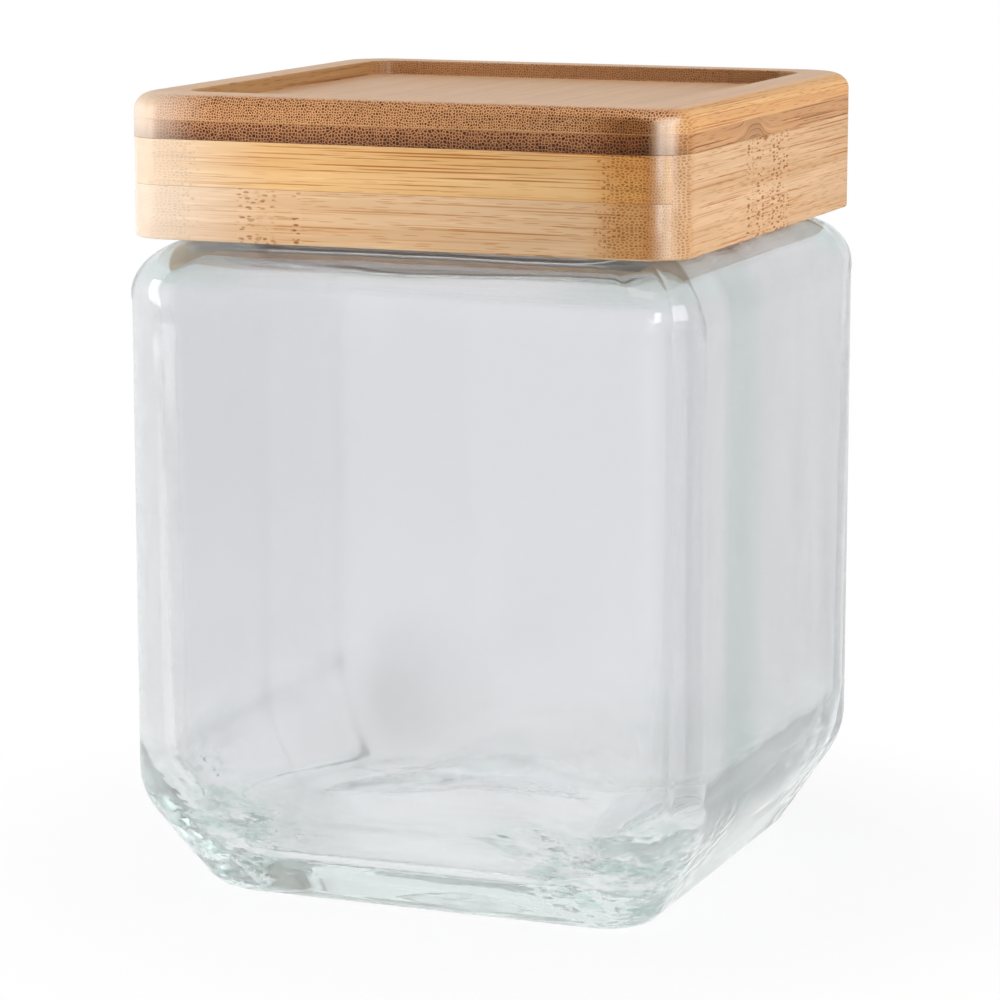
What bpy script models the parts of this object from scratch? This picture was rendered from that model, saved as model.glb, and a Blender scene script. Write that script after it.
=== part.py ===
"""A square glass canister with a bamboo lid, in metres, +Z up.

The origin is the middle of the underside of the foot, and the front faces -Y. The jar is one loft of
rounded squares: up the outside, over the lip and down the inside. The lid is joinery: two glued plies for
its top, mitred rails for its skirt, and a plug below them that carries a silicone seal into the jar's mouth.
"""

import math

import bmesh
import bpy
from mathutils import Matrix, Vector

# Jar, outside
BODY_SIDE = 0.108
BODY_CORNER = 0.012
HEEL_INSET = 0.012
HEEL_HEIGHT = 0.0195
HEEL_FILLET = 0.0165
FOOT_CORNER = 0.008
FOOT_FILLET = 0.0065
SHOULDER_HEIGHT = 0.12065
SHOULDER_FILLET = 0.0115
SHOULDER_CORNER = 0.006

# Jar, neck and mouth
NECK_CORNER = 0.013
NECK_ROOT_FILLET = 0.0012
NECK_WALL = 0.0042
LIP_FILLET = 0.0014

# Jar, inside and underneath
WALL = 0.003
INNER_CORNER = 0.011
SHOULDER_THICKNESS = 0.0032
INNER_SHOULDER_CORNER = 0.007
INNER_SHOULDER_FILLET = 0.0085
THROAT_FILLET = 0.002
FLOOR_THICKNESS = 0.0095
FLOOR_INSET = 0.001
FLOOR_CORNER = 0.014
FLOOR_FILLET = 0.006
FLOOR_CROWN = 0.01
INNER_HEEL_LIFT = 0.004
INNER_HEEL_CORNER = 0.013
INNER_HEEL_FILLET = 0.02
BEARING_WIDTH = 0.005
PUNT_DEPTH = 0.008
CENTRE_SIDE = 0.006

# Lid, outside
LID_INSET = 0.0016
LID_CORNER = 0.0083
RAIL_HEIGHT = 0.01775
RAIL_THICKNESS = 0.0103
RAIL_STRIP_HEIGHT = 0.0096
RAIL_ARRIS = 0.0005
LOWER_PLY = 0.00345
UPPER_PLY = 0.0044
TOP_ROUND = 0.0031
SKIRT_GAP = 0.0005
SKIRT_CLEARANCE = 0.0021
SEAT_GAP = 0.0003
GLUE_LINE = 0.00005

# Stacking recess in the top of the lid
RECESS_DEPTH = 0.0027
RECESS_CORNER = 0.006
STACK_CLEARANCE = 0.0004

# Plug and seal
PLUG_THICKNESS = 0.0092
PLUG_CLEARANCE = 0.0022
PLUG_FILLET = 0.001
GROOVE_DEPTH = 0.002
GROOVE_HEIGHT = 0.0046
GROOVE_RISE = 0.0024
SEAL_GAP = 0.0003
SEAL_LIP = 0.0008
SEAL_LIP_LIFT = 0.0005

CUT_OVERRUN = 0.002
SAME_PLACE = 1e-7
SMOOTH_BELOW = math.radians(32)

# Counts and shares
SIDES = 4
CORNER_STEPS = 6
FILLET_STEPS = 5
DOME_STEPS = 6
ROUND_STEPS = 4
ARRIS_STEPS = 2
CENTRE_CORNER_SHARE = 0.9
LIP_PLACE_SHARES = (0.28, 0.72)

FOOT_Z = 0.0
FOOT_SIDE = BODY_SIDE - 2 * HEEL_INSET
LID_SIDE = BODY_SIDE - 2 * LID_INSET
LID_BOTTOM = SHOULDER_HEIGHT + SKIRT_GAP
JAR_HEIGHT = LID_BOTTOM + RAIL_HEIGHT - SEAT_GAP
NECK_SIDE = LID_SIDE - 2 * (RAIL_THICKNESS + SKIRT_CLEARANCE)
MOUTH_SIDE = NECK_SIDE - 2 * NECK_WALL
MOUTH_CORNER = NECK_CORNER - NECK_WALL


def clear_scene():
    for obj in list(bpy.data.objects):
        bpy.data.objects.remove(obj, do_unlink=True)


def collection(name, helper=False):
    made = bpy.data.collections.new(name)
    made.hide_render = helper
    bpy.context.scene.collection.children.link(made)
    return made


def material(name, colour, roughness, transmission=0.0, ior=1.5):
    made = bpy.data.materials.new(name)
    made.use_nodes = True
    shader = made.node_tree.nodes["Principled BSDF"]
    shader.inputs["Base Color"].default_value = (*colour, 1.0)
    shader.inputs["Roughness"].default_value = roughness
    shader.inputs["Metallic"].default_value = 0.0
    shader.inputs["Transmission Weight"].default_value = transmission
    shader.inputs["IOR"].default_value = ior
    made.diffuse_color = (*colour, 1.0)
    return made


def object_from(bm, name, home, finish):
    """A finished object from a bmesh: faces turned out, round faces smooth, corners sharp."""
    bmesh.ops.recalc_face_normals(bm, faces=bm.faces)
    mesh = bpy.data.meshes.new(name)
    bm.to_mesh(mesh)
    bm.free()
    mesh.shade_smooth()
    mesh.set_sharp_from_angle(angle=SMOOTH_BELOW)
    if finish:
        mesh.materials.append(finish)
    obj = bpy.data.objects.new(name, mesh)
    home.objects.link(obj)
    return obj


# Lofts of rounded squares

def section(half, z, corner):
    """The points of one rounded square, anticlockwise from the +X side, seen from above."""
    points = []
    for side in range(SIDES):
        for step in range(CORNER_STEPS + 1):
            angle = (side + step / CORNER_STEPS) * math.tau / SIDES
            middle = (side + 1 / 2) * math.tau / SIDES
            reach = (half - corner) * math.sqrt(2)
            x = reach * math.cos(middle) + corner * math.cos(angle)
            y = reach * math.sin(middle) + corner * math.sin(angle)
            points.append(Vector((x, y, z)))
    return points


def filleted(outline, closed=False):
    """Stations (half, z, corner) along an outline of (half, z, corner, fillet) points, each fillet an arc."""
    count = len(outline)
    stations = []
    for place, (half, z, corner, fillet) in enumerate(outline):
        ends = not closed and place in (0, count - 1)
        if ends or not fillet:
            stations.append((half, z, corner))
            continue
        here = Vector((half, z, corner))
        before = Vector(outline[place - 1][:3]) - here
        after = Vector(outline[(place + 1) % count][:3]) - here
        before_leg = before.xy.normalized()
        after_leg = after.xy.normalized()
        opening = before_leg.angle(after_leg)
        tangent = fillet / math.tan(opening / 2)
        start = here + before * (tangent / before.xy.length)
        end = here + after * (tangent / after.xy.length)
        centre = here.xy + (before_leg + after_leg).normalized() * (fillet / math.sin(opening / 2))
        sweep = (start.xy - centre).angle_signed(end.xy - centre)
        for step in range(FILLET_STEPS + 1):
            share = step / FILLET_STEPS
            point = centre + Matrix.Rotation(-sweep * share, 2) @ (start.xy - centre)
            blend = start.lerp(here, share).lerp(here.lerp(end, share), share)
            stations.append((point.x, point.y, blend.z))
    return stations


def dome(rim_half, rim_z, rim_corner, crown_z):
    """Stations from the middle of a dome to its rim: squares that turn into rounds as they close in."""
    stations = []
    rim_share = rim_corner / rim_half
    centre_share = CENTRE_SIDE / 2 / rim_half
    for step in range(DOME_STEPS):
        share = centre_share + (1 - centre_share) * step / DOME_STEPS
        half = rim_half * share
        corner_share = CENTRE_CORNER_SHARE + (rim_share - CENTRE_CORNER_SHARE) * share
        swell = (1 + math.cos(math.pi * share)) / 2
        stations.append((half, rim_z + (crown_z - rim_z) * swell, half * corner_share))
    return stations


def loft(name, stations, home, finish, closed=False):
    """One solid through rounded squares. An open run of stations is capped at both ends."""
    bm = bmesh.new()
    rings = [[bm.verts.new(point) for point in section(*station)] for station in stations]
    pairs = list(zip(rings, rings[1:]))
    if closed:
        pairs.append((rings[-1], rings[0]))
    for ring, following in pairs:
        for place in range(len(ring)):
            onward = (place + 1) % len(ring)
            bm.faces.new((ring[place], ring[onward], following[onward], following[place]))
    if not closed:
        bm.faces.new(list(reversed(rings[0])))
        bm.faces.new(rings[-1])
    return object_from(bm, name, home, finish)


# Joinery

def board(name, size, low, high, home, finish, corner=0.0, top_round=0.0):
    """A square board between two levels, its upright corners rounded and its top edge rounded over."""
    bm = bmesh.new()
    bmesh.ops.create_cube(bm, size=1)
    bmesh.ops.scale(bm, vec=(size, size, high - low), verts=bm.verts)
    bmesh.ops.translate(bm, vec=(0, 0, (low + high) / 2), verts=bm.verts)
    round_edges(bm, upright_edges(bm), corner, CORNER_STEPS)
    if top_round:
        round_edges(bm, edges_at(bm, high), top_round, ROUND_STEPS)
    return object_from(bm, name, home, finish)


def upright_edges(bm):
    return [edge for edge in bm.edges if abs(edge.verts[0].co.z - edge.verts[1].co.z) > SAME_PLACE]


def edges_at(bm, z):
    return [edge for edge in bm.edges if all(abs(vert.co.z - z) < SAME_PLACE for vert in edge.verts)]


def round_edges(bm, edges, radius, steps):
    bmesh.ops.bevel(bm, geom=edges, offset=radius, segments=steps, profile=0.5, affect="EDGES")


def at_end(vert):
    """Whether a point of an untrimmed rail lies on one of its two ends."""
    return abs(vert.co.x) > LID_SIDE / 2 - SAME_PLACE


def saw(bm, point, normal):
    """Cuts away what lies beyond a plane and closes the cut."""
    geometry = bm.verts[:] + bm.edges[:] + bm.faces[:]
    cut = bmesh.ops.bisect_plane(
        bm, geom=geometry, dist=SAME_PLACE, plane_co=point, plane_no=normal, clear_outer=True
    )
    edges = [item for item in cut["geom_cut"] if isinstance(item, bmesh.types.BMEdge)]
    bmesh.ops.holes_fill(bm, edges=edges, sides=0)


def rail(name, low, high, turn, home, finish, arris=0.0):
    """One side of the skirt: a bar with rounded outer corners, mitred at both ends and turned to its side."""
    bm = bmesh.new()
    bmesh.ops.create_cube(bm, size=1)
    bmesh.ops.scale(bm, vec=(LID_SIDE, RAIL_THICKNESS, high - low), verts=bm.verts)
    front = -LID_SIDE / 2
    middle = (0, front + RAIL_THICKNESS / 2, (low + high) / 2)
    bmesh.ops.translate(bm, vec=middle, verts=bm.verts)
    outer = [
        edge for edge in upright_edges(bm)
        if all(vert.co.y < middle[1] for vert in edge.verts)
    ]
    round_edges(bm, outer, LID_CORNER, CORNER_STEPS)
    if arris:
        inner = front + RAIL_THICKNESS
        lowest = [
            edge for edge in edges_at(bm, low)
            if not all(vert.co.y > inner - SAME_PLACE for vert in edge.verts)
            and not all(at_end(vert) and vert.co.y > middle[1] for vert in edge.verts)
        ]
        round_edges(bm, lowest, arris, ARRIS_STEPS)
    for hand in (-1, 1):
        normal = Vector((hand, 1, 0)).normalized()
        saw(bm, normal * (-GLUE_LINE / 2), normal)
    bmesh.ops.rotate(bm, matrix=Matrix.Rotation(turn, 3, "Z"), verts=bm.verts)
    return object_from(bm, name, home, finish)


def cut(obj, cutter):
    modifier = obj.modifiers.new("Cut " + cutter.name, "BOOLEAN")
    modifier.operation = "DIFFERENCE"
    modifier.solver = "EXACT"
    modifier.object = cutter
    cutter.hide_render = True
    cutter.display_type = "WIRE"


# The pieces

def heel_half(z):
    """Half the width of the foot at a small height, on its rounded edge or on the straight heel above it."""
    rise = math.atan2(HEEL_HEIGHT, HEEL_INSET)
    tangent = FOOT_FILLET * math.tan(rise / 2)
    if z > tangent * math.sin(rise):
        return FOOT_SIDE / 2 + z / math.tan(rise)
    return FOOT_SIDE / 2 - tangent + math.sqrt(FOOT_FILLET ** 2 - (FOOT_FILLET - z) ** 2)


def glass_jar(home):
    half = BODY_SIDE / 2
    neck = NECK_SIDE / 2
    mouth = MOUTH_SIDE / 2
    inner = half - WALL
    under_shoulder = SHOULDER_HEIGHT - SHOULDER_THICKNESS
    rise = math.atan2(HEEL_HEIGHT, HEEL_INSET)
    bearing_edge = FOOT_SIDE / 2 - FOOT_FILLET * math.tan(rise / 2)
    punt = bearing_edge - BEARING_WIDTH
    floor = FOOT_SIDE / 2 - FLOOR_INSET
    shoulder_start = SHOULDER_HEIGHT - SHOULDER_FILLET
    outline = [
        (punt, FOOT_Z, FOOT_CORNER, 0),
        (FOOT_SIDE / 2, FOOT_Z, FOOT_CORNER, FOOT_FILLET),
        (half, HEEL_HEIGHT, BODY_CORNER, HEEL_FILLET),
        (half, shoulder_start, BODY_CORNER, 0),
        (half, SHOULDER_HEIGHT, SHOULDER_CORNER, SHOULDER_FILLET),
        (neck, SHOULDER_HEIGHT, NECK_CORNER, NECK_ROOT_FILLET),
        (neck, JAR_HEIGHT, NECK_CORNER, LIP_FILLET),
        (mouth, JAR_HEIGHT, MOUTH_CORNER, LIP_FILLET),
        (mouth, under_shoulder, MOUTH_CORNER, THROAT_FILLET),
        (inner, under_shoulder, INNER_SHOULDER_CORNER, INNER_SHOULDER_FILLET),
        (inner, shoulder_start - WALL, INNER_CORNER, 0),
        (inner, HEEL_HEIGHT + INNER_HEEL_LIFT, INNER_HEEL_CORNER, INNER_HEEL_FILLET),
        (floor, FLOOR_THICKNESS, FLOOR_CORNER, FLOOR_FILLET),
        (floor - FLOOR_FILLET, FLOOR_THICKNESS, FLOOR_CORNER, 0),
    ]
    underside = dome(punt, FOOT_Z, FOOT_CORNER, PUNT_DEPTH)
    crown = dome(floor - FLOOR_FILLET, FLOOR_THICKNESS, FLOOR_CORNER, FLOOR_THICKNESS + FLOOR_CROWN)
    stations = underside + filleted(outline) + crown[::-1]
    glass = material("clear_soda_glass", (0.95, 0.985, 0.965), 0.02, transmission=1.0, ior=1.52)
    return loft("glass_jar", stations, home, glass)


def plies(home, cutters):
    """The two plies of the top. The upper one has the recess that the foot of another canister stands in."""
    lower_z = RAIL_HEIGHT + GLUE_LINE
    joint_z = RAIL_HEIGHT + LOWER_PLY
    top_z = joint_z + UPPER_PLY
    dark = material("bamboo_dark_ply", (0.36, 0.2, 0.09), 0.5)
    light = material("bamboo_light_ply", (0.52, 0.33, 0.16), 0.48)
    lower = board("lid_lower_ply", LID_SIDE, lower_z, joint_z, home, dark, LID_CORNER)
    upper = board("lid_upper_ply", LID_SIDE, joint_z + GLUE_LINE, top_z, home, light, LID_CORNER, TOP_ROUND)
    floor_z = top_z - RECESS_DEPTH
    recess_side = 2 * (heel_half(RECESS_DEPTH) + STACK_CLEARANCE)
    cutter = board("recess_cutter", recess_side, floor_z, top_z + CUT_OVERRUN, cutters, None, RECESS_CORNER)
    cut(upper, cutter)
    return [lower, upper, cutter]


def rails(home):
    """The skirt: one rail left and right, and two glued strips at the front and at the back."""
    pale = material("bamboo_side_grain", (0.72, 0.5, 0.26), 0.45)
    made = []
    for name, turn in (("front", 0.0), ("back", math.pi)):
        upper_low = RAIL_STRIP_HEIGHT + GLUE_LINE
        made.append(rail(f"{name}_rail_lower_strip", 0, RAIL_STRIP_HEIGHT, turn, home, pale, RAIL_ARRIS))
        made.append(rail(f"{name}_rail_upper_strip", upper_low, RAIL_HEIGHT, turn, home, pale))
    for name, turn in (("right", math.pi / 2), ("left", -math.pi / 2)):
        made.append(rail(f"{name}_rail", 0, RAIL_HEIGHT, turn, home, pale, RAIL_ARRIS))
    return made


def plug_and_seal(home):
    """The plug glued below the plies, and the silicone seal that sits in the groove round it."""
    half = MOUTH_SIDE / 2 - PLUG_CLEARANCE
    corner = MOUTH_CORNER - PLUG_CLEARANCE
    groove_half = half - GROOVE_DEPTH
    groove_corner = corner - GROOVE_DEPTH
    top = RAIL_HEIGHT
    bottom = top - PLUG_THICKNESS
    groove_low = bottom + GROOVE_RISE
    groove_high = groove_low + GROOVE_HEIGHT
    outline = [
        (CENTRE_SIDE / 2, bottom, CENTRE_SIDE / 2 * CENTRE_CORNER_SHARE, 0),
        (half, bottom, corner, PLUG_FILLET),
        (half, groove_low, corner, 0),
        (groove_half, groove_low, groove_corner, 0),
        (groove_half, groove_high, groove_corner, 0),
        (half, groove_high, corner, 0),
        (half, top, corner, 0),
        (CENTRE_SIDE / 2, top, CENTRE_SIDE / 2 * CENTRE_CORNER_SHARE, 0),
    ]
    inner_grain = material("bamboo_plug", (0.66, 0.45, 0.23), 0.55)
    plug = loft("seal_plug", filleted(outline), home, inner_grain)

    inner = groove_half + SEAL_GAP
    inner_corner = groove_corner + SEAL_GAP
    low = groove_low + SEAL_GAP
    high = groove_high - SEAL_GAP
    tip = MOUTH_SIDE / 2 - SEAL_GAP
    tip_corner = MOUTH_CORNER - SEAL_GAP
    ring = [(inner, low, inner_corner, 0), (half, low, corner, 0)]
    for share in LIP_PLACE_SHARES:
        root = low + (high - low) * share - SEAL_LIP / 2
        ring.append((half, root, corner, 0))
        ring.append((tip, root + SEAL_LIP_LIFT, tip_corner, 0))
        ring.append((tip, root + SEAL_LIP_LIFT + SEAL_LIP / 2, tip_corner, 0))
        ring.append((half, root + SEAL_LIP, corner, 0))
    ring.append((half, high, corner, 0))
    ring.append((inner, high, inner_corner, 0))
    silicone = material("clear_silicone", (0.86, 0.87, 0.86), 0.35)
    seal = loft("silicone_seal", filleted(ring, closed=True), home, silicone, closed=True)
    return [plug, seal]


def main():
    clear_scene()
    home = collection("glass_canister")
    cutters = collection("cutters", helper=True)
    glass_jar(home)
    lid = bpy.data.objects.new("lid_lift", None)
    lid.location = (0, 0, LID_BOTTOM)
    home.objects.link(lid)
    for piece in plies(home, cutters) + rails(home) + plug_and_seal(home):
        piece.parent = lid


main()
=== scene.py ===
# %% [markdown]
# # A square glass canister with a bamboo lid
# The canister is a pressed glass jar that holds about a litre, under a lid of glued bamboo that lifts off.
# The CAD model fixes where every piece is, and this script gives each piece its fine shape and its finish,
# cell by cell.

import math

import bmesh
import bpy
import numpy as np
from mathutils import Matrix, Vector


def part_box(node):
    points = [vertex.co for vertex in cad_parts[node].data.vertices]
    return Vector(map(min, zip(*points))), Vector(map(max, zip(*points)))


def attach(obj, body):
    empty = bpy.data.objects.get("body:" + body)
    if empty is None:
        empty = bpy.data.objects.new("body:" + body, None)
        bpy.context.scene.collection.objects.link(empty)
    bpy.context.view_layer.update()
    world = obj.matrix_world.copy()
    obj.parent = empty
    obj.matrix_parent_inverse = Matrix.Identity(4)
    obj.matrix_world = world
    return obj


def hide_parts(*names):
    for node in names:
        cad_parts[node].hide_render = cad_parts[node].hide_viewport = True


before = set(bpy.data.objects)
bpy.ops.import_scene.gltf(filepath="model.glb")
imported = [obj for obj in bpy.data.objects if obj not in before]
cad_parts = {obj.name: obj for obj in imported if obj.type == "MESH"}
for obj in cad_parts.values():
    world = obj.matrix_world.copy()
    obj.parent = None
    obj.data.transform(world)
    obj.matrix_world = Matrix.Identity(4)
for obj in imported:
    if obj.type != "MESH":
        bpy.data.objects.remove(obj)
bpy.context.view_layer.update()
MM = 0.001


def mm(*lengths):
    """Lengths in millimetres, given in metres."""
    return tuple(length * MM for length in lengths)


# %% [markdown]
# ## Sizes
# The outside sizes are read from the CAD nodes, so that the fine pieces sit where the solids are. The
# others are the ones that a drawing would give: radii, wall thicknesses and depths.

# %% Sizes read from the CAD nodes
_, jar_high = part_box("glass_jar")
upper_low, upper_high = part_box("lid_upper_ply")
lower_low, lower_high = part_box("lid_lower_ply")
rail_low, rail_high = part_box("right_rail")
strip_low, strip_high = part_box("front_rail_lower_strip")
top_strip_low, top_strip_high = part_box("front_rail_upper_strip")
plug_low, plug_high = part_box("seal_plug")
_, seal_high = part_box("silicone_seal")
BODY_HALF = jar_high.x
LID_HALF = upper_high.x
PLUG_HALF = plug_high.x
SEAL_HALF = seal_high.x
print("halves in mm:", [round(v / MM, 2) for v in (BODY_HALF, LID_HALF, PLUG_HALF, SEAL_HALF)])

# %% [markdown]
# ## A loft of rounded squares
# The jar, the boards and the plug are all stacks of rounded squares, as a mould or a router leaves them.
# One ring of columns is laid out once. Each column has a share that moves with the square's straight part
# and a share that moves with its corner radius, so any rounded square is a sum of two products.

# %% Columns round a square
SIDES = 4


def way_at(side):
    """A way in the plane. Side 0 is to the right, and each side after it is a quarter turn on."""
    angle = side * math.tau / SIDES
    return np.array([math.cos(angle), math.sin(angle)])


def corner_of(side):
    """The corner after a side, on a square of half width 1."""
    return way_at(side + 0.5) * math.sqrt(2)


class Columns:
    """Where the columns of a loft stand: steps along each straight side and round each corner."""

    def __init__(self, straight_steps, corner_steps):
        middles, rounds = [], []
        for side in range(SIDES):
            for step in range(corner_steps):
                middles.append(corner_of(side))
                rounds.append(way_at(side + step / corner_steps))
            for step in range(straight_steps):
                share = step / straight_steps
                middles.append(corner_of(side) * (1 - share) + corner_of(side + 1) * share)
                rounds.append(way_at(side + 1))
        self.middles = np.array(middles)
        self.rounds = np.array(rounds)
        self.count = len(middles)

    def ring(self, half, z, corner):
        """The points of one rounded square."""
        flat = self.middles * (half - corner) + self.rounds * corner
        return np.column_stack([flat, np.full(self.count, z)])


print("one step a side and two a corner make", Columns(1, 2).count, "columns")

# %% [markdown]
# An outline gives the half width, height and corner radius at each bend of the wall, and the radius of the
# bend. A bend becomes an arc, and the flat parts get stations close to each arc, so that smooth shading
# stays in the bend.

# %% Stations along an outline
HOLD = 0.12 * MM


def bend(before, here, after, radius, steps):
    """Stations round one bend. The corner radius of the squares eases from one leg to the next."""
    here = np.array(here)
    back, on = before - here, after - here
    back_length, on_length = np.hypot(*back[:2]), np.hypot(*on[:2])
    back_way, on_way = back[:2] / back_length, on[:2] / on_length
    opening = math.acos(np.clip(back_way @ on_way, -1, 1))
    tangent = radius / math.tan(opening / 2)
    start, end = here + back * tangent / back_length, here + on * tangent / on_length
    middle_way = (back_way + on_way) / np.hypot(*(back_way + on_way))
    centre = here[:2] + middle_way * radius / math.sin(opening / 2)
    first = start[:2] - centre
    sweep = math.pi - opening
    turn = math.copysign(1, first[0] * (end[:2] - centre)[1] - first[1] * (end[:2] - centre)[0])
    stations = []
    for step in range(steps + 1):
        share = step / steps
        angle = turn * sweep * share
        arm = np.array([
            first[0] * math.cos(angle) - first[1] * math.sin(angle),
            first[0] * math.sin(angle) + first[1] * math.cos(angle),
        ])
        corner = (1 - share) ** 2 * start[2] + 2 * share * (1 - share) * here[2] + share ** 2 * end[2]
        stations.append([*(centre + arm), corner])
    return stations


def stations_along(outline, closest):
    """All stations of an outline of (half, z, corner, radius, steps), no two further apart than closest."""
    runs = []
    for place, (*here, radius, steps) in enumerate(outline):
        beside = outline[place - 1][:3], outline[min(place + 1, len(outline) - 1)][:3]
        runs.append(bend(beside[0], here, beside[1], radius, steps) if radius else [here])
    found = list(runs[0])
    for run, following in zip(runs, runs[1:]):
        first, last = np.array(run[-1]), np.array(following[0])
        length = np.hypot(*(last - first)[:2])
        if length > 3 * HOLD:
            pieces = max(1, math.ceil((length - 2 * HOLD) / closest))
            shares = HOLD / length + (1 - 2 * HOLD / length) * np.arange(pieces + 1) / pieces
            found += [list(first + (last - first) * share) for share in shares]
        found += following
    return np.array(found)


print("a bend in 4 steps has", len(bend((0, 0, 0), (1, 0, 0), (1, 1, 0), 0.5, 4)), "stations")

# %% [markdown]
# The rings become one closed mesh, with a pole at each end, so the solid has no holes.

# %% Meshes from rings and faces
SHARP_ABOVE = math.radians(40)


def add_object(name, data):
    """An object at the origin for a mesh, a lamp or a camera."""
    made = bpy.data.objects.new(name, data)
    bpy.context.scene.collection.objects.link(made)
    return made


def object_of(name, points, faces):
    """A smooth mesh object at the origin, its faces turned outwards."""
    mesh = bpy.data.meshes.new(name)
    mesh.from_pydata([tuple(p) for p in points], [], faces)
    bm = bmesh.new()
    bm.from_mesh(mesh)
    bmesh.ops.recalc_face_normals(bm, faces=bm.faces)
    bm.to_mesh(mesh)
    bm.free()
    mesh.shade_smooth()
    mesh.set_sharp_from_angle(angle=SHARP_ABOVE)
    return add_object(name, mesh)


def faces_between(count, levels):
    """The faces between rings of count points, from each level to the next."""
    around = np.arange(count)
    onward = (around + 1) % count
    band = np.column_stack([around, onward, onward + count, around + count])
    return np.concatenate([band + level * count for level in range(levels - 1)]).tolist()


def loft(name, columns, stations):
    """A closed solid through the stations, with the columns going round."""
    rings = [columns.ring(*station) for station in stations]
    poles = [[0, 0, stations[0][1]], [0, 0, stations[-1][1]]]
    around = np.arange(columns.count)
    onward = (around + 1) % columns.count
    base = np.full(columns.count, len(rings) * columns.count)
    top = base - columns.count
    faces = faces_between(columns.count, len(rings))
    faces += np.column_stack([onward, around, base]).tolist()
    faces += np.column_stack([top + around, top + onward, base + 1]).tolist()
    print(f"{name}: {len(rings)} rings of {columns.count}, {sum(len(f) - 2 for f in faces)} triangles")
    return object_of(name, np.concatenate([*rings, poles]), faces)


# %% [markdown]
# ## The jar's glass
# On the real jar a plunger presses hot glass into a square mould, so the outside is crisp and the inside is
# softer. Its section is drawn once, from the middle of the underside, up the outside, over the lip and down
# the inside. The inside has the bigger radii, which is what bends the light at the heel and the shoulder.

# %% Sizes of the outside
FOOT_HALF, FOOT_CORNER, FOOT_ROUND = mm(42, 8, 6.5)
BEARING_EDGE, BEARING_WIDTH, PUNT_DEPTH = mm(38.36, 5, 8)
HEEL_HEIGHT, HEEL_ROUND, BODY_CORNER = mm(19.5, 16.5, 12)
SHOULDER_HEIGHT, SHOULDER_ROUND, SHOULDER_CORNER = mm(120.65, 11.5, 6)
NECK_HALF, NECK_CORNER, NECK_ROOT_ROUND = mm(40, 13, 1.2)
NECK_WALL, LIP_ROUND = mm(4.2, 1.4)
jar_top = jar_high.z
punt_half = BEARING_EDGE - BEARING_WIDTH
print("neck height in mm:", round((jar_top - SHOULDER_HEIGHT) / MM, 2))

# %% Sizes of the inside
WALL, INNER_CORNER = mm(3, 11)
SHOULDER_THICKNESS, INNER_SHOULDER_CORNER, INNER_SHOULDER_ROUND, THROAT_ROUND = mm(3.2, 7, 8.5, 2)
INNER_HEEL_LIFT, INNER_HEEL_CORNER, INNER_HEEL_ROUND = mm(4, 13, 20)
FLOOR_HEIGHT, FLOOR_HALF, FLOOR_CORNER, FLOOR_BEND, FLOOR_CROWN = mm(9.5, 41, 14, 6, 10)
mouth_half = NECK_HALF - NECK_WALL
inner_half = BODY_HALF - WALL
throat_z = SHOULDER_HEIGHT - SHOULDER_THICKNESS
flat_half = FLOOR_HALF - FLOOR_BEND
print("mouth in mm:", round(2 * mouth_half / MM, 2))

# %% [markdown]
# The middles of the floor and of the underside are domes. A dome starts as a round at its middle and turns
# into the rounded square of its rim. ROUND_SHARE is the corner of a round, as a share of its half width: a
# full 1 would leave the straight sides without length.

# %% The loft of the jar
ROUND_SHARE, DOME_START = 0.98, 0.02
JAR_SPACING = 7 * MM
STRAIGHT_STEPS, CORNER_STEPS = 82, 44


def dome(rim_half, rim_z, rim_corner, crown_z, steps):
    """Stations from the middle of a dome out to its rim: rounds that turn into rounded squares."""
    share = DOME_START + (1 - DOME_START) * np.arange(steps) / steps
    half = rim_half * share
    corner_share = ROUND_SHARE + (rim_corner / rim_half - ROUND_SHARE) * share
    swell = (1 + np.cos(math.pi * share)) / 2
    return np.column_stack([half, rim_z + (crown_z - rim_z) * swell, half * corner_share])


jar_outline = [
    (punt_half, 0, FOOT_CORNER, 0, 0),
    (FOOT_HALF, 0, FOOT_CORNER, FOOT_ROUND, 12),
    (BODY_HALF, HEEL_HEIGHT, BODY_CORNER, HEEL_ROUND, 12),
    (BODY_HALF, SHOULDER_HEIGHT - SHOULDER_ROUND, BODY_CORNER, 0, 0),
    (BODY_HALF, SHOULDER_HEIGHT, SHOULDER_CORNER, SHOULDER_ROUND, 18),
    (NECK_HALF, SHOULDER_HEIGHT, NECK_CORNER, NECK_ROOT_ROUND, 4),
    (NECK_HALF, jar_top, NECK_CORNER, LIP_ROUND, 6),
    (mouth_half, jar_top, NECK_CORNER - NECK_WALL, LIP_ROUND, 6),
    (mouth_half, throat_z, NECK_CORNER - NECK_WALL, THROAT_ROUND, 6),
    (inner_half, throat_z, INNER_SHOULDER_CORNER, INNER_SHOULDER_ROUND, 14),
    (inner_half, SHOULDER_HEIGHT - SHOULDER_ROUND - WALL, INNER_CORNER, 0, 0),
    (inner_half, HEEL_HEIGHT + INNER_HEEL_LIFT, INNER_HEEL_CORNER, INNER_HEEL_ROUND, 14),
    (FLOOR_HALF, FLOOR_HEIGHT, FLOOR_CORNER, FLOOR_BEND, 10),
    (flat_half, FLOOR_HEIGHT, FLOOR_CORNER, 0, 0),
]
underside = dome(punt_half, 0, FOOT_CORNER, PUNT_DEPTH, 10)
crown = dome(flat_half, FLOOR_HEIGHT, FLOOR_CORNER, FLOOR_HEIGHT + FLOOR_CROWN, 14)[::-1]
jar_stations = np.concatenate([underside, stations_along(jar_outline, JAR_SPACING), crown])
jar_columns = Columns(STRAIGHT_STEPS, CORNER_STEPS)
jar = loft("glass_jar_wall", jar_columns, jar_stations)

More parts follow.
